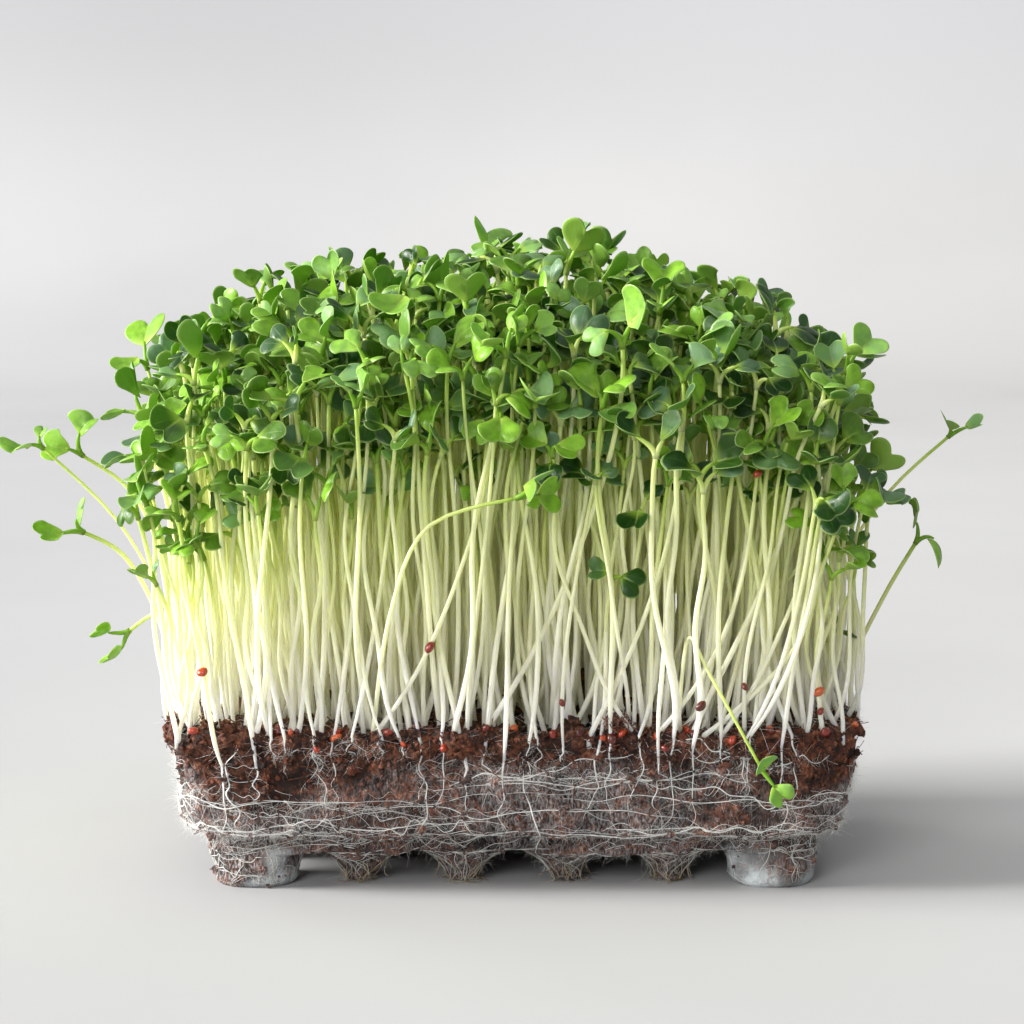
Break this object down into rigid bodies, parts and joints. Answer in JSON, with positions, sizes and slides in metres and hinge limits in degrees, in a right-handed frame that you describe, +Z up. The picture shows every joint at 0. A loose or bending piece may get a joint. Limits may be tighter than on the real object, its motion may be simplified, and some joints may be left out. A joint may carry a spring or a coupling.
{
  "type": "microgreens tray",
  "caption": "Root-bound block of soil that keeps the moulded shape of its growing tray, standing on corner feet, with a dense stand of young brassica microgreens on top.",
  "frame": {"origin": "on the floor under the middle of the block, which is also the middle of the overall box's base", "axes": "+X along the block's long side to the right in the picture, +Y away from the camera, +Z up"},
  "size_m": [0.2225, 0.1346, 0.1419],
  "materials": {
    "soil": "matte",
    "roots": "matte",
    "stems": "satin",
    "leaves": "satin",
    "strays": "satin"
  },
  "bodies": {
    "root": {"soil_block": "soil", "root_net": "roots", "stems_r1_c1": "stems", "stems_r1_c2": "stems", "stems_r1_c3": "stems", "stems_r1_c4": "stems", "stems_r1_c5": "stems", "stems_r2_c1": "stems", "stems_r2_c2": "stems", "stems_r2_c3": "stems", "stems_r2_c4": "stems", "stems_r2_c5": "stems", "stems_r3_c1": "stems", "stems_r3_c2": "stems", "stems_r3_c3": "stems", "stems_r3_c4": "stems", "stems_r3_c5": "stems", "stems_r4_c1": "stems", "stems_r4_c2": "stems", "stems_r4_c3": "stems", "stems_r4_c4": "stems", "stems_r4_c5": "stems", "leaves_r1_c1": "leaves", "leaves_r1_c2": "leaves", "leaves_r1_c3": "leaves", "leaves_r1_c4": "leaves", "leaves_r1_c5": "leaves", "leaves_r2_c1": "leaves", "leaves_r2_c2": "leaves", "leaves_r2_c3": "leaves", "leaves_r2_c4": "leaves", "leaves_r2_c5": "leaves", "leaves_r3_c1": "leaves", "leaves_r3_c2": "leaves", "leaves_r3_c3": "leaves", "leaves_r3_c4": "leaves", "leaves_r3_c5": "leaves", "leaves_r4_c1": "leaves", "leaves_r4_c2": "leaves", "leaves_r4_c3": "leaves", "leaves_r4_c4": "leaves", "leaves_r4_c5": "leaves", "stray_far_left": "strays", "stray_left_fan_upper": "strays", "stray_left_fan_lower": "strays", "stray_left_low": "strays", "stray_right_far": "strays", "stray_right_low": "strays", "stray_front_droop": "strays", "stray_front_arch": "strays"}
  },
  "joints": []
}
